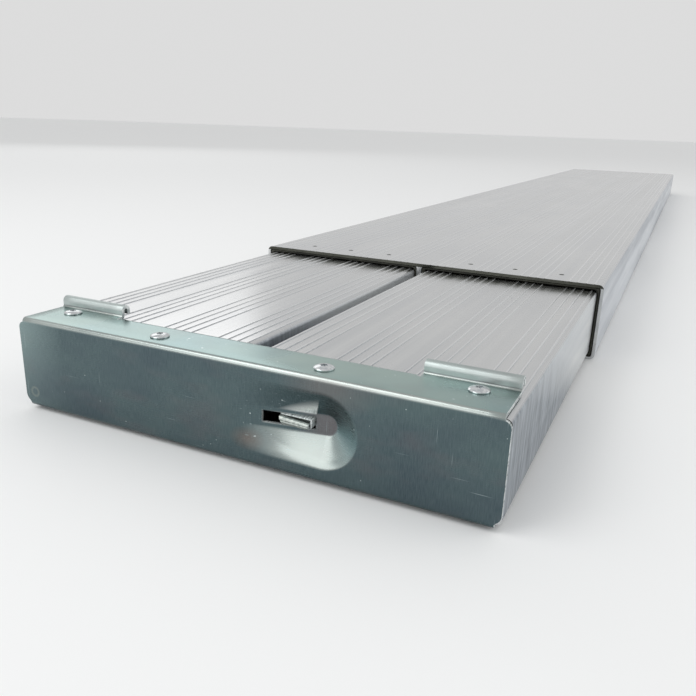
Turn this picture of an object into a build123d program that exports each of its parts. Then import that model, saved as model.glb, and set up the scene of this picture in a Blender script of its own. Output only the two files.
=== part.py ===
from build123d import *

import os

# Telescopic scaffold plank: two hollow inner profiles, on a folded steel end cap, slide in a two-cell
# outer profile.
#
# Frame: X across the plank, Y along it with the end cap facing -Y, Z up.
# Origin: the middle of the underside, with the plank drawn out by EXPOSED. All sizes are in millimetres.

# ---------------------------------------------------------------- driving dimensions
OUTER_WIDTH = 300.0
OUTER_HEIGHT = 60.0
TOTAL_LENGTH = 2142.0  # as drawn, from the cap's face to the far plate
EXPOSED = 282.0  # from the cap's face to the mouth of the outer section
CAP_WIDTH = 290.0
CAP_HEIGHT = 55.0
SHEET = 2.0  # steel sheet of the cap and of the far plate
INNER_LENGTH = 1780.0
GAP = 9.0  # between the two inner profiles
WEB = 4.0  # the outer profile's centre web
INNER_RIB = 0.45  # height of the ribs on the inner decks
OUTER_RIB = 0.18  # and on the outer deck, which is almost smooth
RIB_WIDTH = 1.5  # at the deck
RIB_ROOT = 0.1  # how far a rib's section runs down into the deck
RIB_SLOPE = 52.0  # of its flanks, in degrees
RIB_PITCH = 6.4
RIBS_IN_GROUP = 4
GROUP_PITCH = 37.8
MOST_DRAWN = 958.0  # how much further the plank can be drawn out

# ---------------------------------------------------------------- sizes worked out from them
FACE_Y = -TOTAL_LENGTH / 2
FAR_Y = TOTAL_LENGTH / 2
MOUTH_Y = FACE_Y + EXPOSED
CAP_BOTTOM = 2.0
CAP_TOP = CAP_BOTTOM + CAP_HEIGHT
CAP_MIDDLE = (CAP_BOTTOM + CAP_TOP) / 2

OUTER_WALL = 2.2
OUTER_CORNER = 4.0
CELL_CORNER = 2.0
INNER_CORNER = 3.0
FLOOR_WALL = 2.0
DECK_WALL = 2.4
CELL_BOTTOM = FLOOR_WALL
OUTER_DECK = OUTER_HEIGHT - OUTER_RIB
CELL_TOP = OUTER_DECK - DECK_WALL
CELL_NEAR = WEB / 2
CELL_FAR = OUTER_WIDTH / 2 - OUTER_WALL
CELL_WIDTH = CELL_FAR - CELL_NEAR
CELL_HEIGHT = CELL_TOP - CELL_BOTTOM
CELL_X = (CELL_NEAR + CELL_FAR) / 2
CELL_Z = (CELL_BOTTOM + CELL_TOP) / 2

INNER_WALL = 2.0
INNER_WEB = 1.8
INNER_NEAR = GAP / 2
INNER_FAR = CAP_WIDTH / 2
INNER_WIDTH = INNER_FAR - INNER_NEAR
INNER_X = (INNER_NEAR + INNER_FAR) / 2
INNER_BOTTOM = CAP_BOTTOM + SHEET
INNER_TOP = CAP_TOP - SHEET  # the tops of the ribs
INNER_DECK = INNER_TOP - INNER_RIB
INNER_START = FACE_Y + SHEET
INNER_END = INNER_START + INNER_LENGTH
CHAMBER_BOTTOM = INNER_BOTTOM + INNER_WALL
CHAMBER_TOP = INNER_DECK - INNER_WALL
WEB_OFFSET = 36.75  # of the two inner webs from the middle of their profile
CHAMBER_SIDE_WIDTH = INNER_WIDTH / 2 - INNER_WALL - WEB_OFFSET - INNER_WEB / 2
CHAMBER_MIDDLE_WIDTH = 2 * WEB_OFFSET - INNER_WEB
CHAMBER_SIDE_OFFSET = WEB_OFFSET + INNER_WEB / 2 + CHAMBER_SIDE_WIDTH / 2

# the pressed finger scoop in the cap
SCOOP_START = 7.0
SCOOP_END = 55.0  # centre of its round end
SCOOP_RADIUS = 20.0
SCOOP_FLOOR_RADIUS = 5.3
SCOOP_DEPTH = 8.3
SLOT_LEFT = 20.8
SLOT_RIGHT = 49.0
SLOT_HEIGHT = 6.5

# the two hooked stops at the rear of the cap's flange
FLANGE_WIDTH = 2 * 141.9
FLANGE_DEPTH = 27.5
HOOK_NEAR = 94.6
HOOK_FRONT = 31.0
HOOK_THICK = 6.5
HOOK_TOP = CAP_TOP + 6.5
HOOK_TIP = CAP_TOP + 1.0

# fasteners: (x, distance behind the cap's face)
TOP_SCREWS = [(50.3, 12.0), (124.5, 22.0)]
BOTTOM_SCREWS = [(22.0, 14.0), (127.7, 20.0)]
SCREW_RADIUS = 3.0
HEAD_RADIUS = 5.25
HEAD_RISE = 2.0
SCREW_CLEARANCE = 3.3
THREAD_RADIUS = 2.9
THREAD_FIT = 0.03  # between a thread and the piece it screws into
SCREW_BELOW = 14.0  # how far a cap screw reaches from its flange
SOCKET_RADIUS = 1.45
LOBE_RADIUS = 0.5
LOBES = 6
NUT_BARREL = 4.4
NUT_COLLAR = 6.0
NUT_LENGTH = 12.0
COUNTERSINK_RADIUS = 6.5

# the latch, with its pivot upright in the right-hand profile
PIVOT_X = 24.0
PIVOT_Y = FACE_Y + 42.0
LEVER_BOTTOM = CAP_MIDDLE - 1.5
LEVER_THICK = 3.0
LEVER_TOP = LEVER_BOTTOM + LEVER_THICK
SHELF_TOP = LEVER_BOTTOM - 2.0
PIN_RADIUS = 3.0
TAB_LEFT = 30.3
TAB_RIGHT = 48.4
HEM_FROM = 2.0  # behind the cap's face
HEM_LENGTH = 6.5
HEM_HEIGHT = 5.2
HEM_WALL = 2.1
SPRING_RADIUS = 5.0
SPRING_WIRE = 0.6
NOSE_FROM = 72.0  # behind the cap's face, its square side
NOSE_TO = 84.0
NOSE_REACH = -3.0  # the X its tip stands at, past the outer profile's web
WINDOW_Y = FACE_Y + 77.0  # the middle of the nose's window in the right-hand profile
LEG_Y = 61.0  # behind the cap's face, the post for the spring's fixed leg
PIN_TOP = 38.0  # underside of the pin's cap
CLOSED_MOUTH = HOOK_FRONT + HOOK_THICK + 1.0  # where the mouth stands when the plank is shut

LINER_LENGTH = 45.0
LINER_SET_BACK = 0.5
PEG_RADIUS = 2.0
PEG_SET_BACK = 24.5
PEG_X = [38.0, 76.0, 114.0]
FIT = 0.05  # a seated part's clearance on each side
STOP_X = [42.0, 108.0]
STOP_HEAD_RADIUS = 5.0
GLIDE_THICK = 4.0
STOP_Y = INNER_END - MOST_DRAWN - STOP_HEAD_RADIUS - 0.5
FAR_RIVET_X = [40.0, 110.0]
FAR_RIVET_Y = FAR_Y - 14.0
FAR_RIVET_HOLE = 2.4
FAR_RIVET_SINK = 4.5
GLIDE_SCREW_Y = INNER_END - 12.0
PLUG_LENGTH = 22.0  # of the rear glides, inside the profiles
TONGUES_LEFT = [127.7, 22.0]
TONGUES_RIGHT = [127.7, 94.0]
TONGUE_WIDTH = 26.0

os.makedirs("parts", exist_ok=True)


def across(y):
    """The plane across the plank at y: its own axes are X and Z, and a negative extrusion runs towards +Y."""
    return Plane(origin=(0, y, 0), x_dir=(1, 0, 0), z_dir=(0, -1, 0))


def along(x):
    """The plane along the plank at x: its own axes are Y and Z, and it faces +X."""
    return Plane(origin=(x, 0, 0), x_dir=(0, 1, 0), z_dir=(1, 0, 0))


def level(z):
    """The level plane at height z."""
    return Plane.XY.offset(z)


def save(piece, name):
    """Labels a finished piece and writes it as one STEP file."""
    piece.part.label = name
    export_step(piece.part, f"parts/{name}.step")


def rib_positions(middle):
    """Where the ribs of one half of a deck stand: four groups of four thin ribs."""
    groups = [middle + GROUP_PITCH * (k - 1.5) for k in range(4)]
    first = -RIB_PITCH * (RIBS_IN_GROUP - 1) / 2
    return [g + first + RIB_PITCH * k for g in groups for k in range(RIBS_IN_GROUP)]


# ---------------------------------------------------------------- outer section
def outer_profile():
    """The two-cell extrusion: ribs on its deck, a latch hole in its web, and holes for pegs and rivets."""
    with BuildPart() as profile:
        with BuildSketch(across(MOUTH_Y)) as section:
            with Locations((0, OUTER_DECK / 2)):
                RectangleRounded(OUTER_WIDTH, OUTER_DECK, OUTER_CORNER)
            ribs = [side * x for side in (-1, 1) for x in rib_positions(OUTER_WIDTH / 4 + 1.5)]
            with Locations([(x, OUTER_DECK + (OUTER_RIB - RIB_ROOT) / 2) for x in ribs]):
                Trapezoid(RIB_WIDTH, OUTER_RIB + RIB_ROOT, RIB_SLOPE)
            with Locations((-CELL_X, CELL_Z), (CELL_X, CELL_Z)):
                RectangleRounded(CELL_WIDTH, CELL_HEIGHT, CELL_CORNER, mode=Mode.SUBTRACT)
        extrude(amount=-(FAR_Y - SHEET - MOUTH_Y))
        # latch hole through the web
        hole_from = MOUTH_Y + NOSE_FROM - CLOSED_MOUTH - 1.5
        hole_to = MOUTH_Y + NOSE_TO - CLOSED_MOUTH - 3.0  # the nose is ramped on this side
        with BuildSketch(along(-WEB)):
            with Locations(((hole_from + hole_to) / 2, CAP_MIDDLE)):
                RectangleRounded(hole_to - hole_from, 8.0, 1.0)
        extrude(amount=2 * WEB, mode=Mode.SUBTRACT)
        # peg holes through deck and floor
        with BuildSketch(level(-1)):
            with Locations([(s * x, MOUTH_Y + PEG_SET_BACK) for s in (-1, 1) for x in PEG_X]):
                Circle(PEG_RADIUS + 0.1)
        extrude(amount=OUTER_HEIGHT + 2, mode=Mode.SUBTRACT)
        # holes for the stop rivets, in the floor only
        with BuildSketch(level(-1)):
            with Locations([(s * x, STOP_Y) for s in (-1, 1) for x in STOP_X]):
                Circle(SCREW_RADIUS)
        extrude(amount=FLOOR_WALL + 2, mode=Mode.SUBTRACT)
        # rivet holes at the far end
        with BuildSketch(level(-1)):
            with Locations([(s * x, FAR_RIVET_Y) for s in (-1, 1) for x in FAR_RIVET_X]):
                Circle(FAR_RIVET_SINK)
        extrude(amount=2.0, mode=Mode.SUBTRACT)
        with BuildSketch(level(-1)):
            with Locations([(s * x, FAR_RIVET_Y) for s in (-1, 1) for x in FAR_RIVET_X]):
                Circle(FAR_RIVET_HOLE)
        extrude(amount=OUTER_HEIGHT + 2, mode=Mode.SUBTRACT)
        with BuildSketch(level(OUTER_DECK - 1.0)):
            with Locations([(s * x, FAR_RIVET_Y) for s in (-1, 1) for x in FAR_RIVET_X]):
                Circle(FAR_RIVET_SINK)
        extrude(amount=3.0, mode=Mode.SUBTRACT)
    save(profile, "outer_profile")


def mouth_liner(side, name):
    """A plastic guide ring in one cell's mouth, held by pegs moulded on it, with a window for the latch."""
    width = CELL_WIDTH - 2 * FIT
    height = CELL_HEIGHT - 2 * FIT
    run = 0.3  # between the liner and the inner profile
    lead_in = 0.8
    window = (20.0, 10.0)  # for the latch
    start = MOUTH_Y + LINER_SET_BACK
    with BuildPart() as liner:
        with BuildSketch(across(start)):
            with Locations((side * CELL_X, CELL_Z)):
                RectangleRounded(width, height, CELL_CORNER)
            with Locations((side * INNER_X, (INNER_BOTTOM + INNER_TOP) / 2)):
                RectangleRounded(
                    INNER_WIDTH + 2 * run,
                    INNER_TOP - INNER_BOTTOM + 2 * run,
                    INNER_CORNER,
                    mode=Mode.SUBTRACT,
                )
        extrude(amount=-LINER_LENGTH)
        # lead-in at the mouth
        inner_edges = liner.edges().filter_by(GeomType.LINE).group_by(Axis.Y)[0]
        longest = inner_edges.filter_by_position(Axis.Z, INNER_BOTTOM - 0.35, INNER_TOP + 0.35)
        chamfer(longest.filter_by(lambda e: abs(e.length) > 40), lead_in)
        with BuildSketch(level(CELL_TOP - 1.0)):
            with Locations([(side * x, MOUTH_Y + PEG_SET_BACK) for x in PEG_X]):
                Circle(PEG_RADIUS)
        extrude(amount=DECK_WALL + 0.8)
        with BuildSketch(level(0.2)):
            with Locations([(side * x, MOUTH_Y + PEG_SET_BACK) for x in PEG_X]):
                Circle(PEG_RADIUS)
        extrude(amount=FLOOR_WALL + 0.5)
        middle = MOUTH_Y + (NOSE_FROM + NOSE_TO) / 2 - CLOSED_MOUTH
        with BuildSketch(along(side * CELL_NEAR - 4.0)):
            with Locations((middle, CAP_MIDDLE)):
                RectangleRounded(*window, 1.0)
        extrude(amount=8.0, mode=Mode.SUBTRACT)
    save(liner, name)


def far_end_plate():
    """The steel plate that shuts the far end, with four flanges tucked into the cells."""
    flange_width = 120.0
    flange_depth = 26.0
    with BuildPart() as plate:
        with BuildSketch(across(FAR_Y - SHEET)):
            with Locations((0, OUTER_DECK / 2)):
                RectangleRounded(OUTER_WIDTH, OUTER_DECK, OUTER_CORNER)
        extrude(amount=-SHEET)
        for z in (CELL_BOTTOM + FIT + SHEET / 2, CELL_TOP - FIT - SHEET / 2):
            with BuildSketch(across(FAR_Y - flange_depth)):
                with Locations((-CELL_X, z), (CELL_X, z)):
                    Rectangle(flange_width, SHEET)
            extrude(amount=-(flange_depth - SHEET))
        back = FAR_Y - SHEET
        inside = plate.edges().filter_by(Axis.X).filter_by_position(Axis.Y, back - 0.1, back + 0.1)
        corners = inside.filter_by_position(Axis.Z, CELL_BOTTOM + SHEET, CELL_TOP - SHEET)
        fillet(corners, 1.5)
        with BuildSketch(level(-1)):
            with Locations([(s * x, FAR_RIVET_Y) for s in (-1, 1) for x in FAR_RIVET_X]):
                Circle(FAR_RIVET_HOLE)
        extrude(amount=OUTER_HEIGHT + 2, mode=Mode.SUBTRACT)
    save(plate, "far_end_plate")


def far_end_rivets():
    """Eight flush rivets that hold the far plate's flanges to the deck and the floor."""
    head = 0.95
    with BuildPart() as rivets:
        for x in [s * x for s in (-1, 1) for x in FAR_RIVET_X]:
            for outside, inward in ((OUTER_DECK, -1), (0.0, 1)):
                with BuildSketch(along(x)):
                    with BuildLine():
                        Polyline(
                            (FAR_RIVET_Y, outside),
                            (FAR_RIVET_Y + 4.3, outside),
                            (FAR_RIVET_Y + 4.3, outside + inward * head),
                            (FAR_RIVET_Y + 2.35, outside + inward * head),
                            (FAR_RIVET_Y + 2.35, outside + inward * 4.6),
                            (FAR_RIVET_Y + 3.6, outside + inward * 5.2),
                            (FAR_RIVET_Y + 3.6, outside + inward * 6.6),
                            (FAR_RIVET_Y, outside + inward * 8.0),
                            close=True,
                        )
                    make_face()
                revolve(axis=Axis((x, FAR_RIVET_Y, 0), (0, 0, 1)))
    save(rivets, "far_end_rivets")


def stop_rivets():
    """Four rivets in the outer floor, with low heads inside that the rear glides meet at full reach."""
    with BuildPart() as rivets:
        for x in [s * x for s in (-1, 1) for x in STOP_X]:
            with BuildSketch(along(x)):
                with BuildLine():
                    Polyline(
                        (STOP_Y, 0.1),
                        (STOP_Y + SCREW_RADIUS - FIT, 0.1),
                        (STOP_Y + SCREW_RADIUS - FIT, FLOOR_WALL + 0.02),
                        (STOP_Y + STOP_HEAD_RADIUS, FLOOR_WALL + 0.02),
                        (STOP_Y + STOP_HEAD_RADIUS, FLOOR_WALL + 1.1),
                        (STOP_Y + STOP_HEAD_RADIUS - 1.0, FLOOR_WALL + 1.5),
                        (STOP_Y, FLOOR_WALL + 1.5),
                        close=True,
                    )
                make_face()
            revolve(axis=Axis((x, STOP_Y, 0), (0, 0, 1)))
    save(rivets, "stop_rivets")


# ---------------------------------------------------------------- inner section
def inner_profile(side, name):
    """One hollow three-chamber extrusion. The right one is cut away in front for the scoop and the latch."""
    with BuildPart() as profile:
        middle = side * INNER_X
        with BuildSketch(across(INNER_START)):
            with Locations((middle, (INNER_BOTTOM + INNER_DECK) / 2)):
                RectangleRounded(INNER_WIDTH, INNER_DECK - INNER_BOTTOM, INNER_CORNER)
            ribs = [side * x for x in rib_positions(INNER_X)]
            with Locations([(x, INNER_DECK + (INNER_RIB - RIB_ROOT) / 2) for x in ribs]):
                Trapezoid(RIB_WIDTH, INNER_RIB + RIB_ROOT, RIB_SLOPE)
            chamber_z = (CHAMBER_BOTTOM + CHAMBER_TOP) / 2
            chamber_height = CHAMBER_TOP - CHAMBER_BOTTOM
            with Locations((middle, chamber_z)):
                RectangleRounded(CHAMBER_MIDDLE_WIDTH, chamber_height, 1.0, mode=Mode.SUBTRACT)
            with Locations([(middle + k * CHAMBER_SIDE_OFFSET, chamber_z) for k in (-1, 1)]):
                RectangleRounded(CHAMBER_SIDE_WIDTH, chamber_height, 1.0, mode=Mode.SUBTRACT)
        extrude(amount=-INNER_LENGTH)
        for holes, plane in ((TOP_SCREWS, level(CHAMBER_TOP - 1)), (BOTTOM_SCREWS, level(INNER_BOTTOM - 1))):
            with BuildSketch(plane):
                with Locations([(side * x, FACE_Y + y) for x, y in holes]):
                    Circle(NUT_BARREL + 0.1 if holes is TOP_SCREWS else SCREW_CLEARANCE)
            extrude(amount=INNER_WALL + 2.2, mode=Mode.SUBTRACT)
        # countersinks of the floor screws run on from the cap's flange into the profile
        sunk_to = CAP_BOTTOM + 3.4
        with BuildSketch(along(0)):
            with BuildLine():
                Polyline(
                    (FACE_Y, CAP_BOTTOM),
                    (FACE_Y + COUNTERSINK_RADIUS, CAP_BOTTOM),
                    (FACE_Y + SCREW_CLEARANCE, sunk_to),
                    (FACE_Y, sunk_to),
                    close=True,
                )
            make_face()
        cone = revolve(axis=Axis((0, FACE_Y, 0), (0, 0, 1)), mode=Mode.PRIVATE)
        for x, y in BOTTOM_SCREWS:
            add(Pos(side * x, y, 0) * cone, mode=Mode.SUBTRACT)
        for k in (-1, 1):
            with BuildSketch(level(INNER_BOTTOM - 1)):
                with Locations((middle + k * CHAMBER_SIDE_OFFSET, GLIDE_SCREW_Y)):
                    Circle(2.1)
            extrude(amount=INNER_WALL + 2, mode=Mode.SUBTRACT)
        if side > 0:
            # room for the scoop behind the cap
            with Locations((41.0, INNER_START + 5.5, CAP_MIDDLE)):
                Box(76.0, 11.0, 43.0, mode=Mode.SUBTRACT)
            # room in the near web for the lever's arm
            with Locations((INNER_X - WEB_OFFSET, INNER_START + 17.0, CAP_MIDDLE)):
                Box(4.0, 34.0, 24.0, mode=Mode.SUBTRACT)
            # window for the lever's nose
            with Locations((INNER_NEAR, WINDOW_Y, CAP_MIDDLE)):
                Box(6.0, 30.0, 9.0, mode=Mode.SUBTRACT)
    save(profile, name)


def scoop_solid(grown, start, depth_add):
    """The solid that the scoop's press tool fills: a ramp that deepens to the right, then a round end."""

    def outline(depth):
        """One cross-section of the scoop in Y and Z."""
        wide = SCOOP_RADIUS + grown
        floor = SCOOP_FLOOR_RADIUS + grown
        return [
            (start, CAP_MIDDLE - wide),
            (FACE_Y + depth + depth_add, CAP_MIDDLE - floor),
            (FACE_Y + depth + depth_add, CAP_MIDDLE + floor),
            (start, CAP_MIDDLE + wide),
        ]

    with BuildPart() as solid:
        for x, depth in ((SCOOP_START, 0.15), (SCOOP_END, SCOOP_DEPTH)):
            with BuildSketch(along(x)):
                with BuildLine():
                    Polyline(*outline(depth), close=True)
                make_face()
        loft(ruled=True)
    with BuildPart() as end:
        with BuildSketch(along(SCOOP_END)):
            with BuildLine():
                Polyline(
                    (start, CAP_MIDDLE),
                    outline(SCOOP_DEPTH)[3],
                    outline(SCOOP_DEPTH)[2],
                    (FACE_Y + SCOOP_DEPTH + depth_add, CAP_MIDDLE),
                    close=True,
                )
            make_face()
        revolve(axis=Axis((SCOOP_END, 0, CAP_MIDDLE), (0, 1, 0)))
        split(bisect_by=Plane(origin=(SCOOP_END, 0, 0), z_dir=(1, 0, 0)), keep=Keep.TOP)
    return solid.part + end.part


def end_cap():
    """The folded steel cap: face, two flanges, two hooked stops, and the pressed scoop with its slot."""
    behind = scoop_solid(0.9, FACE_Y + SHEET - 0.4, SHEET)  # the back of the pressing
    front = scoop_solid(0.0, FACE_Y - 0.01, 0.0)
    with BuildPart() as cap:
        with BuildSketch(along(-FLANGE_WIDTH / 2)) as channel:
            with BuildLine():
                Polyline(
                    (FACE_Y, CAP_BOTTOM),
                    (FACE_Y + FLANGE_DEPTH, CAP_BOTTOM),
                    (FACE_Y + FLANGE_DEPTH, CAP_BOTTOM + SHEET),
                    (FACE_Y + SHEET, CAP_BOTTOM + SHEET),
                    (FACE_Y + SHEET, CAP_TOP - SHEET),
                    (FACE_Y + FLANGE_DEPTH, CAP_TOP - SHEET),
                    (FACE_Y + FLANGE_DEPTH, CAP_TOP),
                    (FACE_Y, CAP_TOP),
                    close=True,
                )
            make_face()
            fillet(channel.vertices().group_by(Axis.X)[0], 2.6)
        extrude(amount=FLANGE_WIDTH)
        with BuildSketch(across(FACE_Y)):
            with Locations((0, CAP_MIDDLE)):
                RectangleRounded(CAP_WIDTH, CAP_HEIGHT - 4.0, 4.0)
        extrude(amount=-SHEET)
        # hooked stops: up from the flange, over, and down behind
        rise = FACE_Y + HOOK_FRONT
        back = rise + HOOK_THICK
        bend = HOOK_THICK / 2
        for near in (-FLANGE_WIDTH / 2, HOOK_NEAR):
            with BuildSketch(along(near)):
                with BuildLine():
                    Polyline(
                        (FACE_Y + FLANGE_DEPTH - 0.5, CAP_TOP - SHEET),
                        (rise + SHEET, CAP_TOP - SHEET),
                        (rise + SHEET, HOOK_TOP - bend),
                    )
                    RadiusArc((rise + SHEET, HOOK_TOP - bend), (back - SHEET, HOOK_TOP - bend), bend - SHEET)
                    Polyline((back - SHEET, HOOK_TOP - bend), (back - SHEET, HOOK_TIP), (back, HOOK_TIP))
                    Line((back, HOOK_TIP), (back, HOOK_TOP - bend))
                    RadiusArc((back, HOOK_TOP - bend), (rise, HOOK_TOP - bend), -bend)
                    Polyline(
                        (rise, HOOK_TOP - bend),
                        (rise, CAP_TOP),
                        (FACE_Y + FLANGE_DEPTH - 0.5, CAP_TOP),
                        (FACE_Y + FLANGE_DEPTH - 0.5, CAP_TOP - SHEET),
                    )
                make_face()
            extrude(amount=FLANGE_WIDTH / 2 - HOOK_NEAR)
        add(behind)
        add(front, mode=Mode.SUBTRACT)
        with BuildSketch(across(FACE_Y)):
            with Locations(((SLOT_LEFT + SLOT_RIGHT) / 2, CAP_MIDDLE)):
                Rectangle(SLOT_RIGHT - SLOT_LEFT, SLOT_HEIGHT)
        extrude(amount=-(SCOOP_DEPTH + 2 * SHEET + 1.7), mode=Mode.SUBTRACT)
        with BuildSketch(level(CAP_TOP - SHEET - 1)):
            with Locations([(s * x, FACE_Y + y) for s in (-1, 1) for x, y in TOP_SCREWS]):
                Circle(SCREW_CLEARANCE)
        extrude(amount=SHEET + 2, mode=Mode.SUBTRACT)
        sink = 3.3
        for s in (-1, 1):
            for x, y in BOTTOM_SCREWS:
                with Locations(Location((s * x, FACE_Y + y, CAP_BOTTOM + sink / 2))):
                    Cone(COUNTERSINK_RADIUS, SCREW_CLEARANCE, sink, mode=Mode.SUBTRACT)
    save(cap, "end_cap")


def cap_screws_top():
    """Four low button-head screws through the top flange, each with a six-lobe socket."""
    with BuildPart() as screws:
        for x, y in [(s * x, FACE_Y + y) for s in (-1, 1) for x, y in TOP_SCREWS]:
            with BuildSketch(along(x)):
                with BuildLine():
                    Polyline(
                        (y, CAP_TOP - SCREW_BELOW),
                        (y + THREAD_RADIUS - 0.6, CAP_TOP - SCREW_BELOW),
                        (y + THREAD_RADIUS, CAP_TOP - SCREW_BELOW + 0.6),
                        (y + THREAD_RADIUS, CAP_TOP),
                        (y + HEAD_RADIUS, CAP_TOP),
                        (y + HEAD_RADIUS, CAP_TOP + 0.7),
                        (y + HEAD_RADIUS - 0.4, CAP_TOP + 1.0),
                    )
                    ThreePointArc(
                        (y + HEAD_RADIUS - 0.4, CAP_TOP + 1.0),
                        (y + 2.8, CAP_TOP + 1.7),
                        (y, CAP_TOP + HEAD_RISE),
                    )
                    Line((y, CAP_TOP + HEAD_RISE), (y, CAP_TOP - SCREW_BELOW))
                make_face()
            revolve(axis=Axis((x, y, 0), (0, 0, 1)))
            with BuildSketch(level(CAP_TOP + 0.6)):
                with Locations((x, y)):
                    Circle(SOCKET_RADIUS)
                    with PolarLocations(SOCKET_RADIUS, LOBES):
                        Circle(LOBE_RADIUS)
            extrude(amount=3.0, mode=Mode.SUBTRACT)
    save(screws, "cap_screws_top")


def rivet_nuts():
    """Four rivet nuts set in the decks of the inner profiles for the top screws."""
    with BuildPart() as nuts:
        for x, y in [(s * x, FACE_Y + y) for s in (-1, 1) for x, y in TOP_SCREWS]:
            with BuildSketch(along(x)):
                with BuildLine():
                    Polyline(
                        (y + THREAD_RADIUS + THREAD_FIT, INNER_DECK - NUT_LENGTH),
                        (y + NUT_BARREL, INNER_DECK - NUT_LENGTH),
                        (y + NUT_BARREL, CHAMBER_TOP - 3.5),
                        (y + NUT_COLLAR, CHAMBER_TOP - 2.0),
                        (y + NUT_COLLAR, CHAMBER_TOP - FIT),
                        (y + NUT_BARREL, CHAMBER_TOP - FIT),
                        (y + NUT_BARREL, INNER_DECK),
                        (y + THREAD_RADIUS + THREAD_FIT, INNER_DECK),
                        close=True,
                    )
                make_face()
            revolve(axis=Axis((x, y, 0), (0, 0, 1)))
    save(nuts, "rivet_nuts")


def cap_screws_bottom():
    """Four countersunk screws, flush with the underside of the bottom flange."""
    with BuildPart() as screws:
        for x, y in [(s * x, FACE_Y + y) for s in (-1, 1) for x, y in BOTTOM_SCREWS]:
            with BuildSketch(along(x)):
                with BuildLine():
                    Polyline(
                        (y, CAP_BOTTOM + 0.1),
                        (y + 5.9, CAP_BOTTOM + 0.1),
                        (y + THREAD_RADIUS, CAP_BOTTOM + 3.2),
                        (y + THREAD_RADIUS, CAP_BOTTOM + SCREW_BELOW - 0.6),
                        (y + THREAD_RADIUS - 0.6, CAP_BOTTOM + SCREW_BELOW),
                        (y, CAP_BOTTOM + SCREW_BELOW),
                        close=True,
                    )
                make_face()
            revolve(axis=Axis((x, y, 0), (0, 0, 1)))
            with BuildSketch(level(CAP_BOTTOM)):
                with Locations((x, y)):
                    Circle(SOCKET_RADIUS)
                    with PolarLocations(SOCKET_RADIUS, LOBES):
                        Circle(LOBE_RADIUS)
            extrude(amount=2.2, mode=Mode.SUBTRACT)
    save(screws, "cap_screws_bottom")


def cap_tongues(side, places, name):
    """Bent steel tongues welded behind the cap. They reach into the chambers and take the floor screws."""
    with BuildPart() as tongues:
        front = INNER_START + 0.02
        back = INNER_START + 26.0
        foot = CHAMBER_BOTTOM + 2 * FIT
        for x in places:
            with BuildSketch(along(side * x - TONGUE_WIDTH / 2)):
                with BuildLine():
                    Polyline(
                        (front, foot),
                        (back, foot),
                        (back, foot + 3.0),
                        (INNER_START + SHEET, foot + 3.0),
                        (INNER_START + SHEET, foot + 14.0),
                        (front, foot + 14.0),
                        close=True,
                    )
                make_face()
            extrude(amount=TONGUE_WIDTH)
            screws = [(side * sx, FACE_Y + sy) for sx, sy in BOTTOM_SCREWS if abs(sx - x) < TONGUE_WIDTH / 2]
            for sx, sy in screws:
                with Locations((sx, sy, foot + 1.5)):
                    Cylinder(THREAD_RADIUS + THREAD_FIT, 6.0, mode=Mode.SUBTRACT)
    save(tongues, name)


def rear_glide(side, name):
    """A plastic plug in the rear end of an inner profile. Its plate runs in the cell to the stop rivets."""
    run = 0.3  # between the plate and the cell
    wall = 3.0
    with BuildPart() as glide:
        with BuildSketch(across(INNER_END)):
            with Locations((side * CELL_X, CELL_Z)):
                RectangleRounded(CELL_WIDTH - 2 * run, CELL_HEIGHT - 2 * run, CELL_CORNER)
        extrude(amount=-GLIDE_THICK)
        chamber_z = (CHAMBER_BOTTOM + CHAMBER_TOP) / 2
        height = CHAMBER_TOP - CHAMBER_BOTTOM - 2 * FIT - 0.1
        for x, width in (
            (side * INNER_X, CHAMBER_MIDDLE_WIDTH),
            (side * INNER_X - CHAMBER_SIDE_OFFSET, CHAMBER_SIDE_WIDTH),
            (side * INNER_X + CHAMBER_SIDE_OFFSET, CHAMBER_SIDE_WIDTH),
        ):
            fitted = width - 2 * FIT - 0.1
            with BuildSketch(across(INNER_END - PLUG_LENGTH)):
                with Locations((x, chamber_z)):
                    RectangleRounded(fitted, height, 1.0)
                    RectangleRounded(fitted - 2 * wall, height - 2 * wall, 1.0, mode=Mode.SUBTRACT)
            extrude(amount=-PLUG_LENGTH)
        for k in (-1, 1):
            with Locations((side * INNER_X + k * CHAMBER_SIDE_OFFSET, GLIDE_SCREW_Y, CHAMBER_BOTTOM + 2.0)):
                Cylinder(1.85, 6.0, mode=Mode.SUBTRACT)
    save(glide, name)


def rear_glide_screws():
    """Four small countersunk screws up through the floors of the inner profiles into the rear glides."""
    with BuildPart() as screws:
        y = GLIDE_SCREW_Y
        for x in [s * INNER_X + k * CHAMBER_SIDE_OFFSET for s in (-1, 1) for k in (-1, 1)]:
            with BuildSketch(along(x)):
                with BuildLine():
                    Polyline(
                        (y, INNER_BOTTOM + 0.1),
                        (y + 2.0, INNER_BOTTOM + 0.1),
                        (y + 2.0, INNER_BOTTOM + 1.6),
                        (y + 1.8, INNER_BOTTOM + 2.0),
                        (y + 1.8, INNER_BOTTOM + 4.8),
                        (y, INNER_BOTTOM + 6.0),
                        close=True,
                    )
                make_face()
            revolve(axis=Axis((x, y, 0), (0, 0, 1)))
    save(screws, "rear_glide_screws")


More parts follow.
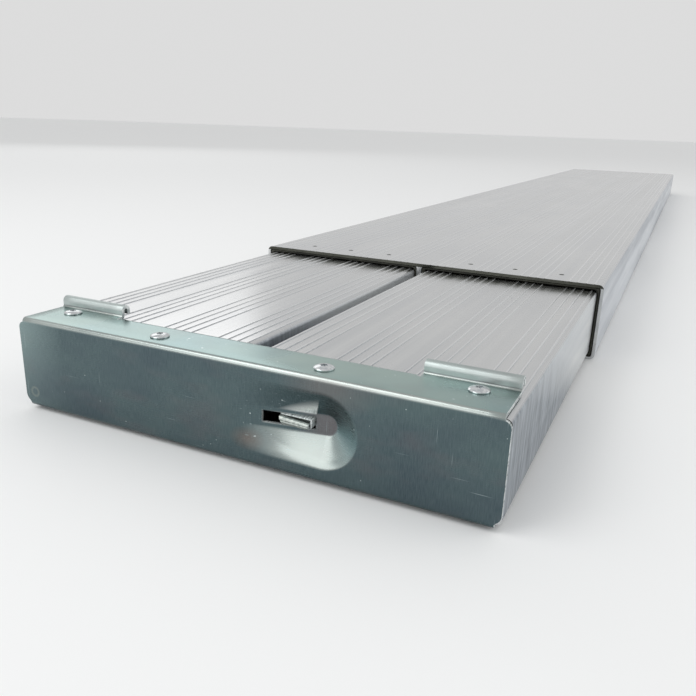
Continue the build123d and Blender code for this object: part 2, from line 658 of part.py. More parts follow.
# ---------------------------------------------------------------- latch
def latch_lever():
    """The flat lever: a hemmed finger tab in front, an eye at the pivot and a ramped nose at the back."""
    plan = [
        (TAB_LEFT + 0.3, 6.0),
        (TAB_RIGHT, 6.0),
        (TAB_RIGHT, 14.0),
        (33.0, 38.0),
        (22.0, 52.0),
        (17.0, 72.0),
        (17.0, NOSE_TO),
        (8.0, NOSE_TO),
        (NOSE_REACH, NOSE_FROM + 2.0),
        (NOSE_REACH, NOSE_FROM),
        (9.5, NOSE_FROM),
        (10.5, 58.0),
        (16.0, 42.0),
        (TAB_LEFT + 0.3, 14.0),
    ]
    with BuildPart() as lever:
        with BuildSketch(level(LEVER_BOTTOM)):
            with BuildLine():
                Polyline(*[(x, FACE_Y + y) for x, y in plan], close=True)
            make_face()
            with Locations((PIVOT_X, PIVOT_Y)):
                Circle(8.5)
                Circle(PIN_RADIUS + 0.05, mode=Mode.SUBTRACT)
        extrude(amount=LEVER_THICK)
        # the rolled hem along the tab's front, with the hollow inside its fold
        with BuildSketch(along(TAB_LEFT)):
            with Locations((FACE_Y + HEM_FROM + HEM_LENGTH / 2, CAP_MIDDLE)):
                SlotOverall(HEM_LENGTH, HEM_HEIGHT)
                SlotOverall(HEM_LENGTH - 2 * HEM_WALL, HEM_HEIGHT - 2 * HEM_WALL, mode=Mode.SUBTRACT)
        extrude(amount=TAB_RIGHT - TAB_LEFT)
        # lug that the spring pushes on
        with Locations((31.0, FACE_Y + 25.0, LEVER_TOP + 2.0)):
            Box(2.0, 6.0, 4.0)
    save(lever, "latch_lever")


def latch_carrier():
    """The bent bracket on the chamber's floor that holds the latch's pivot."""
    foot = CHAMBER_BOTTOM + 2 * FIT
    front = FACE_Y + 6.0
    back = FACE_Y + 62.0
    shelf_front = FACE_Y + 31.0
    thick = 2.5
    with BuildPart() as carrier:
        with BuildSketch(along(9.0)) as section:
            with BuildLine():
                Polyline(
                    (front, foot),
                    (back, foot),
                    (back, SHELF_TOP),
                    (shelf_front, SHELF_TOP),
                    (shelf_front, SHELF_TOP - SHEET),
                    (back - SHEET, SHELF_TOP - SHEET),
                    (back - SHEET, foot + thick),
                    (front, foot + thick),
                    close=True,
                )
            make_face()
            fillet(section.vertices().group_by(Axis.X)[-1], 2.0)
        extrude(amount=27.5)
        # post for the spring's fixed leg
        with Locations((32.0, FACE_Y + LEG_Y, (SHELF_TOP + PIN_TOP) / 2 - 2.5)):
            Box(4.0, SHEET, PIN_TOP - SHELF_TOP + 5.0)
        with Locations((PIVOT_X, PIVOT_Y, SHELF_TOP - 1.0)):
            Cylinder(PIN_RADIUS + 0.02, 4.0, mode=Mode.SUBTRACT)
        screw_x, screw_y = BOTTOM_SCREWS[0]
        with Locations((screw_x, FACE_Y + screw_y, foot + 1.5)):
            Cylinder(THREAD_RADIUS + THREAD_FIT, 8.0, mode=Mode.SUBTRACT)
    save(carrier, "latch_carrier")


def latch_pivot_pin():
    """The upright pin that the lever turns on, headed below the shelf and capped above the spring."""
    with BuildPart() as pin:
        with BuildSketch(along(PIVOT_X)):
            with BuildLine():
                Polyline(
                    (PIVOT_Y, SHELF_TOP - 4.0),
                    (PIVOT_Y + 4.8, SHELF_TOP - 4.0),
                    (PIVOT_Y + 4.8, SHELF_TOP - 2.02),
                    (PIVOT_Y + PIN_RADIUS, SHELF_TOP - 2.02),
                    (PIVOT_Y + PIN_RADIUS, PIN_TOP),
                    (PIVOT_Y + 6.5, PIN_TOP),
                    (PIVOT_Y + 6.5, PIN_TOP + 1.2),
                    (PIVOT_Y + 5.5, PIN_TOP + 2.0),
                    (PIVOT_Y, PIN_TOP + 2.0),
                    close=True,
                )
            make_face()
        revolve(axis=Axis((PIVOT_X, PIVOT_Y, 0), (0, 0, 1)))
    save(pin, "latch_pivot_pin")


def pivot_washer():
    """A plain washer between the carrier's shelf and the lever."""
    with BuildPart() as washer:
        with Locations((PIVOT_X, PIVOT_Y, (SHELF_TOP + LEVER_BOTTOM) / 2)):
            Cylinder(6.0, LEVER_BOTTOM - SHELF_TOP - 0.1)
            Cylinder(PIN_RADIUS + 0.1, 4.0, mode=Mode.SUBTRACT)
    save(washer, "pivot_washer")


def latch_spring():
    """A torsion spring of three turns round the pin, with legs to the lever's lug and the carrier's post."""
    pitch = 1.3
    turns = 3
    low = LEVER_TOP + SPRING_WIRE + 0.3
    start = (PIVOT_X + SPRING_RADIUS, PIVOT_Y, low)
    end = (PIVOT_X + SPRING_RADIUS, PIVOT_Y, low + pitch * turns)
    with BuildPart() as spring:
        with BuildLine(Plane(origin=(PIVOT_X, PIVOT_Y, low))):
            Helix(pitch=pitch, height=pitch * turns, radius=SPRING_RADIUS)
        with BuildSketch(Plane(origin=start, x_dir=(1, 0, 0), z_dir=(0, 1, 0))):
            Circle(SPRING_WIRE)
        sweep(is_frenet=True)
        with BuildSketch(Plane(origin=start, x_dir=(1, 0, 0), z_dir=(0, -1, 0))):
            Circle(SPRING_WIRE)
        extrude(amount=19.0)
        with BuildSketch(Plane(origin=end, x_dir=(1, 0, 0), z_dir=(0, 1, 0))):
            Circle(SPRING_WIRE)
        extrude(amount=20.0)
    save(spring, "latch_spring")


outer_profile()
mouth_liner(-1, "mouth_liner_left")
mouth_liner(1, "mouth_liner_right")
far_end_plate()
far_end_rivets()
stop_rivets()
inner_profile(-1, "inner_profile_left")
inner_profile(1, "inner_profile_right")
end_cap()
cap_screws_top()
rivet_nuts()
cap_screws_bottom()
cap_tongues(-1, TONGUES_LEFT, "cap_tongues_left")
cap_tongues(1, TONGUES_RIGHT, "cap_tongues_right")
rear_glide(-1, "rear_glide_left")
rear_glide(1, "rear_glide_right")
rear_glide_screws()
latch_lever()
latch_carrier()
latch_pivot_pin()
pivot_washer()
latch_spring()
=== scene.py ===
import math

import bmesh
import bpy
from mathutils import Euler, Matrix, Vector


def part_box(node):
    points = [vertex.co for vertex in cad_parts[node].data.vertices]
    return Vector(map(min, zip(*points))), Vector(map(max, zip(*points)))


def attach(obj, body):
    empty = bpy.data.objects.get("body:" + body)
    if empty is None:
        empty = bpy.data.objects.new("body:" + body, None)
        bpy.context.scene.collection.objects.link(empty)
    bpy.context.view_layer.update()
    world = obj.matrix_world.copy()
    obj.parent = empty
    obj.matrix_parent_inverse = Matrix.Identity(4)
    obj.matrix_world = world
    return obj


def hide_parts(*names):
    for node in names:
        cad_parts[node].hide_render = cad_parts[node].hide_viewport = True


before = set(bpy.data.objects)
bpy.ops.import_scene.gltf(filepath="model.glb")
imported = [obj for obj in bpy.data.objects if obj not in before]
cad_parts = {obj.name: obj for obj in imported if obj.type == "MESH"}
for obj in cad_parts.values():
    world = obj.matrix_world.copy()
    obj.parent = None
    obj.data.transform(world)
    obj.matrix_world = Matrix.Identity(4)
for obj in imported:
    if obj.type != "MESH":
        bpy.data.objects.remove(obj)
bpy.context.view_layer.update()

MM = 0.001
SHARP = 40  # degrees from which an edge is rounded
FLOOR_REACH = 30000.0

# ---------------------------------------------------------------- places and sizes, in millimetres
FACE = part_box("end_cap")[0][1] / MM  # the end cap's front face
CAP_BOTTOM = 2.0
CAP_TOP = 57.0
CAP_SIDE = 145.0
SHEET = 2.0
SCREW_CLEARANCE = 3.3
COUNTERSINK = (6.5, 3.1)  # radius at the underside and inside
THREAD = 2.9
SCREW_TIP = CAP_TOP - 14.0
BEND = 2.6  # outside radius of the folds
FLANGE_SIDE = 141.9
FLANGE_DEPTH = 27.5
HOOK_NEAR = 94.6
HOOK_FRONT = 31.0
INNER_BEND = 1.1
HOOK_RADIUS = 3.25
HOOK_TOP = 63.5
HOOK_TIP = 58.0
NOTCH = 1.8  # relief cut beside each hook
TOP_SCREWS = [(s * x, FACE + y) for s in (-1, 1) for x, y in ((50.3, 12.0), (124.5, 22.0))]
BOTTOM_SCREWS = [(s * x, FACE + y) for s in (-1, 1) for x, y in ((22.0, 14.0), (127.7, 20.0))]

SCOOP_MIDDLE = 29.5
SCOOP_START = 7.0
SCOOP_END = 55.0
SCOOP_RADIUS = 20.0
SCOOP_FLOOR = 5.3
SCOOP_DEPTH = 8.3
SLOT = (20.8, 49.0)  # its ends in X
SLOT_HALF = 3.25  # half its height
LEVER_MIDDLE = 29.5
LEVER_THICK = 3.0
LEVER_TOP = LEVER_MIDDLE + LEVER_THICK / 2
PIVOT = (24.0, FACE + 42.0)
SPRING_RADIUS = 5.0
SPRING_WIRE = 0.6
SPRING_PITCH = 1.3
SPRING_TURNS = 3
SPRING_LOW = LEVER_TOP + 0.9
SPRING_LOWER_LEG = 19.0
SPRING_UPPER_LEG = 20.0
LUG = (31.0, FACE + 25.0, LEVER_MIDDLE + 3.2)  # the block on the lever that the lower leg bears on
LUG_SIZE = (2.0, 6.0, 4.5)
PIN_HOLE = 3.05
TAB = (30.3, 48.4)  # its ends in X
TAB_FRONT = 2.0
TAB_BACK = 8.5
ROLL_BOTTOM = LEVER_MIDDLE - 2.6
ROLL_HEIGHT = 4.2
ROLL_WALL = 1.3
LIP_SHEET = 0.75
LIP_TOP = LEVER_MIDDLE + 2.95

WELDS = [(-137.6, FACE, 11.5)]  # spot welds that show through the face, as thin rings
WELD_RADIUS = 2.7
PAINTED_GLINT_SLOPE = 0.45  # the bright fan painted above the tab as a painted reflection: how its upper side rises with X
PAINTED_GLINT_FROM = 22.2  # the height of that side at X = 0, where the painted reflection starts
PAINTED_GLINT_FULL = 16.8  # and where it is full
PAINTED_GLINT_END = 36.5  # where the fan stops, in X at Z = 0
PAINTED_GLINT_END_SLANT = 0.36  # and how that end leans with Z
WORKED_ABOVE = (58.3, 53.1)  # where pressing the scoop tinted the sheet, in X and Z
WORKED_BESIDE = (13.0, 16.0)
OUTER_RIB_TOP = 60.0
OUTER_RIB = 0.18
INNER_RIB_TOP = 55.0
INNER_RIB = 0.45
HANDLED = 38.0  # how far behind the cap the inner sides are worn by hands, at their top edge
HANDLED_SLANT = 3.0  # and how much further for each millimetre down
HANDLED_FADE = 70  # and how much further it fades out


# ---------------------------------------------------------------- finishes
def paint(code):
    """An sRGB hex colour as the linear colour that a shader takes."""
    parts = [int(code[k : k + 2], 16) / 255 for k in (1, 3, 5)]
    return [c / 12.92 if c <= 0.04045 else ((c + 0.055) / 1.055) ** 2.4 for c in parts] + [1.0]


def add(tree, kind, *inputs, named=None, **settings):
    """Adds one node and gives its first output. Inputs are values or outputs, in order or by name."""
    node = tree.nodes.new("ShaderNode" + kind)
    for setting, value in settings.items():
        setattr(node, setting, value)
    in_order = zip([socket for socket in node.inputs if socket.enabled], inputs)
    by_name = [(node.inputs[name], value) for name, value in (named or {}).items()]
    for socket, value in [*in_order, *by_name]:
        if isinstance(value, bpy.types.NodeSocket):
            tree.links.new(value, socket)
        else:
            socket.default_value = value
    return next(socket for socket in node.outputs if socket.enabled)


def finish_named(name):
    """A new material with its tree, its shader and the object's own coordinates."""
    material = bpy.data.materials.new(name)
    material.use_nodes = True
    tree = material.node_tree
    shader = tree.nodes["Principled BSDF"]
    place = add(tree, "TexCoord").node.outputs["Object"]
    return material, tree, shader, place


def grain(tree, place, size, detail=2.0, roughness=0.5, turn=(0, 0, 0), shift=(0, 0, 0)):
    """A noise pattern whose features are about as long, in millimetres, as size says on each axis."""
    scale = [1 / (length * MM) for length in size]
    mapped = add(tree, "Mapping", place, shift, turn, scale)
    return add(tree, "TexNoise", mapped, 1.0, detail, roughness)


def patch(tree, place, middle, reach, full=0.1, strength=1.0):
    """A soft oval pattern on the cap's face, given by its middle and its reach in X and Z."""
    shift = (-middle[0] / reach[0], 0.0, -middle[1] / reach[1])
    scale = (1 / (reach[0] * MM), 0.0, 1 / (reach[1] * MM))
    mapped = add(tree, "Mapping", place, shift, (0, 0, 0), scale)
    away = add(tree, "VectorMath", mapped, operation="LENGTH")
    return add(tree, "MapRange", away, 1.0, full, 0.0, strength)


def mill_aluminium(name, rib_top, rib, wall_tones):
    """6063 aluminium as it leaves the die: satin grey, lines along its length, rib tops rubbed lighter,
    with a painted highlight on their crowns and upper flanks.
    """
    material, tree, shader, place = finish_named(name)
    die_lines = grain(tree, place, (0.9, 700, 0.9), 3.0, 0.6)
    streaks = grain(tree, place, (9, 900, 9), 3.0, 0.55, shift=(3, 1, 0))
    clouds = grain(tree, place, (70, 170, 70), 3.0, 0.6)
    scuffs = grain(tree, place, (26, 2.2, 26), 2.0, 0.5, turn=(0, 0, 0.35))
    apart = add(tree, "SeparateXYZ", place).node.outputs
    normal = add(tree, "NewGeometry").node.outputs["Normal"]
    facing = add(tree, "SeparateXYZ", normal).node.outputs
    tone = add(
        tree,
        "Mix",
        add(tree, "MapRange", streaks, 0.3, 0.7),
        paint("#C3C5C7"),
        paint("#D3D4D4"),
        data_type="RGBA",
    )
    tone = add(
        tree,
        "Mix",
        add(tree, "MapRange", die_lines, 0.35, 0.7, 0.0, 0.18),
        tone,
        paint("#B4B6B8"),
        data_type="RGBA",
    )
    tone = add(
        tree,
        "Mix",
        add(tree, "MapRange", clouds, 0.42, 0.68, 0.0, 0.3),
        tone,
        paint("#DCDCDA"),
        data_type="RGBA",
    )
    # rib crowns and upper flanks painted lighter: partly rubbed wear, partly a painted highlight
    crown_wear_and_highlight = add(tree, "MapRange", apart["Z"], (rib_top - rib) * MM, (rib_top - 0.3 * rib) * MM)
    tone = add(
        tree,
        "Mix",
        add(tree, "MapRange", crown_wear_and_highlight, 0.0, 1.0, 0.0, 0.35),
        tone,
        paint("#F7F7F5"),
        data_type="RGBA",
    )
    # upright walls: softly streaked along their length, and greyer where hands have held them
    sideways = add(tree, "Math", facing["X"], operation="ABSOLUTE")
    wall = add(tree, "MapRange", sideways, 0.6, 0.9)
    blotches = grain(tree, place, (60, 420, 26), 3.0, 0.55, shift=(2, 6, 1))
    rubs = grain(tree, place, (30, 2.6, 34), 3.0, 0.6, turn=(0.2, 0, 0))
    wall_tone = add(
        tree,
        "Mix",
        add(tree, "MapRange", blotches, 0.36, 0.62),
        paint(wall_tones[0]),
        paint(wall_tones[1]),
        data_type="RGBA",
    )
    below_top = add(tree, "Math", apart["Z"], HANDLED_SLANT, apart["Y"], operation="MULTIPLY_ADD")
    held_to = FACE + HANDLED + HANDLED_SLANT * INNER_RIB_TOP
    held = add(tree, "MapRange", below_top, (held_to + HANDLED_FADE) * MM, (held_to - 18) * MM)
    held_tone = add(
        tree,
        "Mix",
        add(tree, "MapRange", rubs, 0.35, 0.65),
        paint("#6C747C"),
        paint("#A9B0B7"),
        data_type="RGBA",
    )
    wall_tone = add(tree, "Mix", held, wall_tone, held_tone, data_type="RGBA")
    tone = add(tree, "Mix", wall, tone, wall_tone, data_type="RGBA")
    # sawn ends of the top wall: painted dark olive grey, a painted dark reflection
    ahead = add(tree, "Math", facing["Y"], operation="ABSOLUTE")
    sawn = add(tree, "Math", ahead, 0.9, operation="GREATER_THAN")
    in_deck = add(tree, "MapRange", apart["Z"], (rib_top - 3.4) * MM, (rib_top - 2.8) * MM)
    painted_dark_ends = add(tree, "Math", sawn, in_deck, operation="MULTIPLY")
    tone = add(tree, "Mix", painted_dark_ends, tone, paint("#4A4B45"), data_type="RGBA")
    tree.links.new(tone, shader.inputs["Base Color"])
    tree.links.new(add(tree, "MapRange", wall, 0.0, 1.0, 1.0, 0.55), shader.inputs["Metallic"])
    rough = add(tree, "MapRange", streaks, 0.3, 0.7, 0.17, 0.27)
    scuffed = add(tree, "MapRange", scuffs, 0.66, 0.74, 0.0, 0.1)
    rough = add(tree, "Math", rough, scuffed, operation="ADD")
    rough = add(tree, "Math", rough, add(tree, "MapRange", wall, 0.0, 1.0, 0.0, 0.15))
    tree.links.new(rough, shader.inputs["Roughness"])
    bump = add(tree, "Bump", named={"Height": die_lines, "Strength": 0.2, "Distance": 0.008 * MM})
    bump = add(
        tree, "Bump", named={"Height": streaks, "Strength": 0.25, "Distance": 0.02 * MM, "Normal": bump}
    )
    tree.links.new(bump, shader.inputs["Normal"])
    return material


def passivated_steel(name):
    """Zinc plated and blue passivated sheet with drifting teal and straw tints, and painted light: its
    front face is painted dark slate as painted shade, and faces that look up are painted lighter.
    """
    material, tree, shader, place = finish_named(name)
    shader.inputs["Metallic"].default_value = 1.0
    drift = grain(tree, place, (60, 60, 34), 3.0, 0.55)
    warm = grain(tree, place, (30, 30, 12), 2.0, 0.5, shift=(4, 2, 7))
    speckle = grain(tree, place, (0.5, 0.5, 5.0), 2.0, 0.5)
    pits = grain(tree, place, (1.7, 1.7, 1.7), 0.0, 0.5, shift=(11, 5, 2))
    drawn = grain(tree, place, (160, 40, 0.8), 2.0, 0.5)
    apart = add(tree, "SeparateXYZ", place).node.outputs
    normal = add(tree, "NewGeometry").node.outputs["Normal"]
    facing = add(tree, "SeparateXYZ", normal).node.outputs
    upward = facing["Z"]
    facing_ahead = add(tree, "Math", facing["Y"], operation="ABSOLUTE")
    # painted shade: the front face is painted dark slate, standing in for the dark surroundings it
    # reflects
    face_tone = add(
        tree,
        "Mix",
        add(tree, "MapRange", drift, 0.35, 0.65),
        paint("#4C5A60"),
        paint("#566769"),
        data_type="RGBA",
    )
    # painted light: a lighter tone for faces that look up, and a lighter teal one for the level flange
    painted_light_tone = add(
        tree,
        "Mix",
        add(tree, "MapRange", drift, 0.35, 0.65),
        paint("#9AA3A1"),
        paint("#ABB2AE"),
        data_type="RGBA",
    )
    flange_painted_light_tone = add(
        tree,
        "Mix",
        add(tree, "MapRange", drift, 0.35, 0.65),
        paint("#8AA3A3"),
        paint("#A2B6B0"),
        data_type="RGBA",
    )
    level = add(tree, "MapRange", upward, 0.93, 0.99)
    painted_light_tone = add(tree, "Mix", level, painted_light_tone, flange_painted_light_tone, data_type="RGBA")
    # painted reflection: a lighter teal painted towards the left end, most of all near its top corner
    thin = add(tree, "MapRange", apart["X"], -112 * MM, -146 * MM)
    thin = add(
        tree,
        "Math",
        thin,
        add(tree, "MapRange", apart["Z"], 12 * MM, 50 * MM, 0.25, 1.0),
        operation="MULTIPLY",
    )
    face_tone = add(tree, "Mix", thin, face_tone, paint("#849696"), data_type="RGBA")
    # painted shade: faces that look down, such as the scoop's upper wall, are painted darker
    painted_shade_mask = add(tree, "MapRange", upward, -0.1, -0.45)
    tone = add(tree, "Mix", painted_shade_mask, face_tone, paint("#3C4D50"), data_type="RGBA")
    # painted light: faces that look up, and everything at the flange's height, are painted in the
    # lighter tone
    rubbed = add(tree, "MapRange", upward, 0.04, 0.34)
    on_flange = add(tree, "MapRange", apart["Z"], (CAP_TOP - 1.6) * MM, CAP_TOP * MM)
    painted_light_mask = add(tree, "Math", rubbed, on_flange, operation="MAXIMUM")
    tone = add(tree, "Mix", painted_light_mask, tone, painted_light_tone, data_type="RGBA")
    on_face_front = add(tree, "MapRange", apart["Y"], (FACE + 1.2) * MM, (FACE + 0.2) * MM)
    # painted reflection: the scoop's flat floor is painted a lighter neutral grey
    deep = add(tree, "MapRange", apart["Y"], (FACE + 5.4) * MM, (FACE + 7.6) * MM)
    floor_painted_reflection = add(tree, "MapRange", facing_ahead, 0.9, 0.98)
    floor_painted_reflection = add(tree, "Math", floor_painted_reflection, deep, operation="MULTIPLY")
    tone = add(tree, "Mix", floor_painted_reflection, tone, paint("#6B6A6C"), data_type="RGBA")
    # painted reflection: a bright fan painted on its upper wall above the tab, widening to the right
    # and stopping short
    fan = add(tree, "Math", apart["X"], -PAINTED_GLINT_SLOPE, apart["Z"], operation="MULTIPLY_ADD")
    finger = add(tree, "MapRange", fan, PAINTED_GLINT_FROM * MM, PAINTED_GLINT_FULL * MM, 0.0, 0.85)
    above_slot = add(tree, "MapRange", apart["Z"], 31 * MM, 33 * MM)
    finger = add(tree, "Math", finger, above_slot, operation="MULTIPLY")
    below_rim = add(tree, "MapRange", apart["Z"], 45 * MM, 37 * MM)
    finger = add(tree, "Math", finger, below_rim, operation="MULTIPLY")
    overhung = add(tree, "MapRange", upward, -0.05, -0.3)
    finger = add(tree, "Math", finger, overhung, operation="MULTIPLY")
    slanted = add(tree, "Math", apart["Z"], -PAINTED_GLINT_END_SLANT, apart["X"], operation="MULTIPLY_ADD")
    short_of_end = add(tree, "MapRange", slanted, (PAINTED_GLINT_END + 0.6) * MM, PAINTED_GLINT_END * MM)
    finger = add(tree, "Math", finger, short_of_end, operation="MULTIPLY")
    tone = add(tree, "Mix", finger, tone, paint("#FCFFFD"), data_type="RGBA")
    # painted reflection: the wall of its round end, where it faces left, is painted a lighter teal
    end_wall_painted_reflection = add(tree, "MapRange", facing["X"], -0.12, -0.5, 0.0, 0.55)
    not_under = add(tree, "MapRange", upward, -0.4, 0.1)
    end_wall_painted_reflection = add(tree, "Math", end_wall_painted_reflection, not_under, operation="MULTIPLY")
    tone = add(tree, "Mix", end_wall_painted_reflection, tone, paint("#83A3A6"), data_type="RGBA")
    # painted light: the hooks are painted a lighter plainer grey, and have less gloss
    on_hook = add(tree, "MapRange", apart["Z"], (CAP_TOP + 0.6) * MM, (CAP_TOP + 1.6) * MM)
    tone = add(tree, "Mix", on_hook, tone, paint("#B4BDBB"), data_type="RGBA")
    for weld in WELDS:
        reach = add(tree, "VectorMath", place, [v * MM for v in weld], operation="DISTANCE")
        ring = add(tree, "Math", reach, WELD_RADIUS * MM, operation="SUBTRACT")
        ring = add(tree, "Math", ring, operation="ABSOLUTE")
        tone = add(
            tree,
            "Mix",
            add(tree, "MapRange", ring, 1.1 * MM, 0.1 * MM, 0.0, 0.4),
            tone,
            paint("#959B92"),
            data_type="RGBA",
        )
    tone = add(
        tree,
        "Mix",
        add(tree, "MapRange", warm, 0.52, 0.75, 0.0, 0.18),
        tone,
        paint("#7A6A6C"),
        data_type="RGBA",
    )
    # straw tint above the scoop and at its shallow end, where the sheet was worked most
    worked = patch(tree, place, WORKED_ABOVE, (27.8, 15.6), full=0.2, strength=0.5)
    worked = add(tree, "Math", worked, on_face_front, operation="MULTIPLY")
    tone = add(tree, "Mix", worked, tone, paint("#7C7472"), data_type="RGBA")
    tone = add(
        tree,
        "Mix",
        patch(tree, place, WORKED_BESIDE, (11.0, 7.0), strength=0.4),
        tone,
        paint("#8E7466"),
        data_type="RGBA",
    )
    tone = add(
        tree,
        "Mix",
        add(tree, "MapRange", speckle, 0.3, 0.75, 0.0, 0.12),
        tone,
        paint("#9FAEB0"),
        data_type="RGBA",
    )
    tone = add(
        tree, "Mix", add(tree, "MapRange", pits, 0.85, 0.88), tone, paint("#C9D4D4"), data_type="RGBA"
    )
    scratch_a = grain(tree, place, (0.35, 0.35, 26), 0.0, 0.5, turn=(0, 0.5, 0), shift=(3, 0, 1))
    knocked = add(tree, "MapRange", apart["X"], 122 * MM, 144 * MM, 0.0, 0.075)
    scratch_a = add(tree, "Math", scratch_a, knocked)
    scratch_b = grain(tree, place, (30, 0.4, 0.4), 0.0, 0.5, turn=(0, 0.12, 0.05), shift=(1, 5, 4))
    scratches = add(
        tree,
        "Math",
        add(tree, "MapRange", scratch_a, 0.845, 0.88),
        add(tree, "MapRange", scratch_b, 0.84, 0.88),
        operation="MAXIMUM",
    )
    tone = add(tree, "Mix", scratches, tone, paint("#A3B1B4"), data_type="RGBA")
    tree.links.new(tone, shader.inputs["Base Color"])
    rough = add(tree, "MapRange", drift, 0.3, 0.7, 0.2, 0.3)
    rough = add(tree, "Math", rough, add(tree, "MapRange", drawn, 0.3, 0.7, 0.0, 0.03), operation="ADD")
    rough = add(tree, "Math", rough, add(tree, "MapRange", on_hook, 0.0, 1.0, 0.0, 0.14))
    tree.links.new(rough, shader.inputs["Roughness"])
    bump = add(tree, "Bump", named={"Height": speckle, "Strength": 0.2, "Distance": 0.012 * MM})
    tree.links.new(bump, shader.inputs["Normal"])
    return material


def sheared_steel(name):
    """The cut edge of plated sheet: bright, with fine lines across it from the shear."""
    material, tree, shader, place = finish_named(name)
    shader.inputs["Metallic"].default_value = 0.35
    lines = grain(tree, place, (0.5, 6, 2.5), 2.0, 0.6)
    tone = add(
        tree,
        "Mix",
        add(tree, "MapRange", lines, 0.35, 0.65),
        paint("#98A2A3"),
        paint("#EEF3F2"),
        data_type="RGBA",
    )
    tree.links.new(tone, shader.inputs["Base Color"])
    tree.links.new(add(tree, "MapRange", lines, 0.3, 0.7, 0.22, 0.4), shader.inputs["Roughness"])
    bump = add(tree, "Bump", named={"Height": lines, "Strength": 0.5, "Distance": 0.08 * MM})
    tree.links.new(bump, shader.inputs["Normal"])
    return material


def bright_zinc(name, dull, bright, gloss):
    """Barrel-plated zinc on small turned and headed parts: slightly uneven, with small knocks."""
    material, tree, shader, place = finish_named(name)
    shader.inputs["Metallic"].default_value = 1.0
    knocks = grain(tree, place, (1.6, 1.6, 1.6), 2.0, 0.5)
    tone = add(
        tree,
        "Mix",
        add(tree, "MapRange", knocks, 0.35, 0.7),
        paint(dull),
        paint(bright),
        data_type="RGBA",
    )
    tree.links.new(tone, shader.inputs["Base Color"])
    tree.links.new(
        add(tree, "MapRange", knocks, 0.3, 0.7, gloss, gloss + 0.12), shader.inputs["Roughness"]
    )
    bump = add(tree, "Bump", named={"Height": knocks, "Strength": 0.3, "Distance": 0.06 * MM})
    tree.links.new(bump, shader.inputs["Normal"])
    return material


def spring_wire(name):
    """Oil-tempered spring wire: dark grey, with draw lines."""
    material, tree, shader, place = finish_named(name)
    shader.inputs["Metallic"].default_value = 1.0
    scale = grain(tree, place, (0.8, 0.8, 0.8), 2.0, 0.6)
    tone = add(
        tree,
        "Mix",
        add(tree, "MapRange", scale, 0.35, 0.65),
        paint("#3C3D40"),
        paint("#6B6D70"),
        data_type="RGBA",
    )
    tree.links.new(tone, shader.inputs["Base Color"])
    shader.inputs["Roughness"].default_value = 0.38
    return material


def moulded_nylon(name):
    """Black glass-filled nylon: satin, faintly olive, with a fine moulded grain and rubbed patches."""
    material, tree, shader, place = finish_named(name)
    fine = grain(tree, place, (0.7, 0.7, 0.7), 2.0, 0.5)
    rubbed = grain(tree, place, (14, 30, 14), 2.0, 0.5)
    tone = add(
        tree,
        "Mix",
        add(tree, "MapRange", rubbed, 0.4, 0.7),
        paint("#17180F"),
        paint("#2C2D22"),
        data_type="RGBA",
    )
    tree.links.new(tone, shader.inputs["Base Color"])
    tree.links.new(add(tree, "MapRange", rubbed, 0.3, 0.7, 0.58, 0.42), shader.inputs["Roughness"])
    bump = add(tree, "Bump", named={"Height": fine, "Strength": 0.3, "Distance": 0.04 * MM})
    tree.links.new(bump, shader.inputs["Normal"])
    return material


deck_aluminium = mill_aluminium(
    "mill_finish_aluminium_outer", OUTER_RIB_TOP, OUTER_RIB, ("#A9AEB5", "#D3D7DC")
)
inner_aluminium = mill_aluminium(
    "mill_finish_aluminium_inner", INNER_RIB_TOP, INNER_RIB, ("#C6CACD", "#DDDFDF")
)
plated_sheet = passivated_steel("blue_passivated_steel")
cut_edge = sheared_steel("sheared_steel_edge")
latch_steel = bright_zinc("zinc_plated_latch_strip", "#7F8683", "#B4B9B4", 0.3)
zinc = bright_zinc("bright_zinc_plate", "#C3C7CA", "#E4E6E6", 0.16)
wire = spring_wire("oil_tempered_wire")
nylon = moulded_nylon("black_moulded_nylon")

CAD_FINISHES = {
    "outer_profile": deck_aluminium,
    "inner_profile_left": inner_aluminium,
    "inner_profile_right": inner_aluminium,
    "mouth_liner_left": nylon,
    "mouth_liner_right": nylon,
    "rear_glide_left": nylon,
    "rear_glide_right": nylon,
    "end_cap": plated_sheet,
    "far_end_plate": plated_sheet,
    "cap_tongues_left": plated_sheet,
    "cap_tongues_right": plated_sheet,
    "far_end_rivets": zinc,
    "stop_rivets": zinc,
    "cap_screws_top": zinc,
    "cap_screws_bottom": zinc,
    "rivet_nuts": zinc,
    "rear_glide_screws": zinc,
    "latch_lever": latch_steel,
    "latch_carrier": latch_steel,
    "latch_pivot_pin": zinc,
    "pivot_washer": zinc,
    "latch_spring": wire,
}
for node_name, finish in CAD_FINISHES.items():
    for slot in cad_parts[node_name].material_slots:
        slot.material = finish


# ---------------------------------------------------------------- mesh tools
def stations(start, *runs):
    """Stations from start through each (end, largest step) run."""
    out = [start]
    for end, step in runs:
        first = out[-1]
        count = max(1, math.ceil(abs(end - first) / step))
        out += [first + (end - first) * k / count for k in range(1, count + 1)]
    return out


def arc(centre, radius, start, stop, count):
    """Points round an arc, in degrees, without its first point."""
    turns = [math.radians(start + (stop - start) * k / count) for k in range(1, count + 1)]
    return [(centre[0] + radius * math.cos(a), centre[1] + radius * math.sin(a)) for a in turns]


def sheet_blank(columns, rows):
    """A flat grid with one vertex for each column and row, as a dictionary by column and row."""
    blank = bmesh.new()
    made = bmesh.ops.create_grid(blank, x_segments=len(columns) - 1, y_segments=len(rows) - 1, size=1.0)
    places = {}
    for vert in made["verts"]:
        i = round((vert.co.x + 1) / 2 * (len(columns) - 1))
        j = round((vert.co.y + 1) / 2 * (len(rows) - 1))
        places[i, j] = vert
    return blank, places


def verts_in(geometry):
    """The vertices among what an operator made."""
    return [part for part in geometry if isinstance(part, bmesh.types.BMVert)]


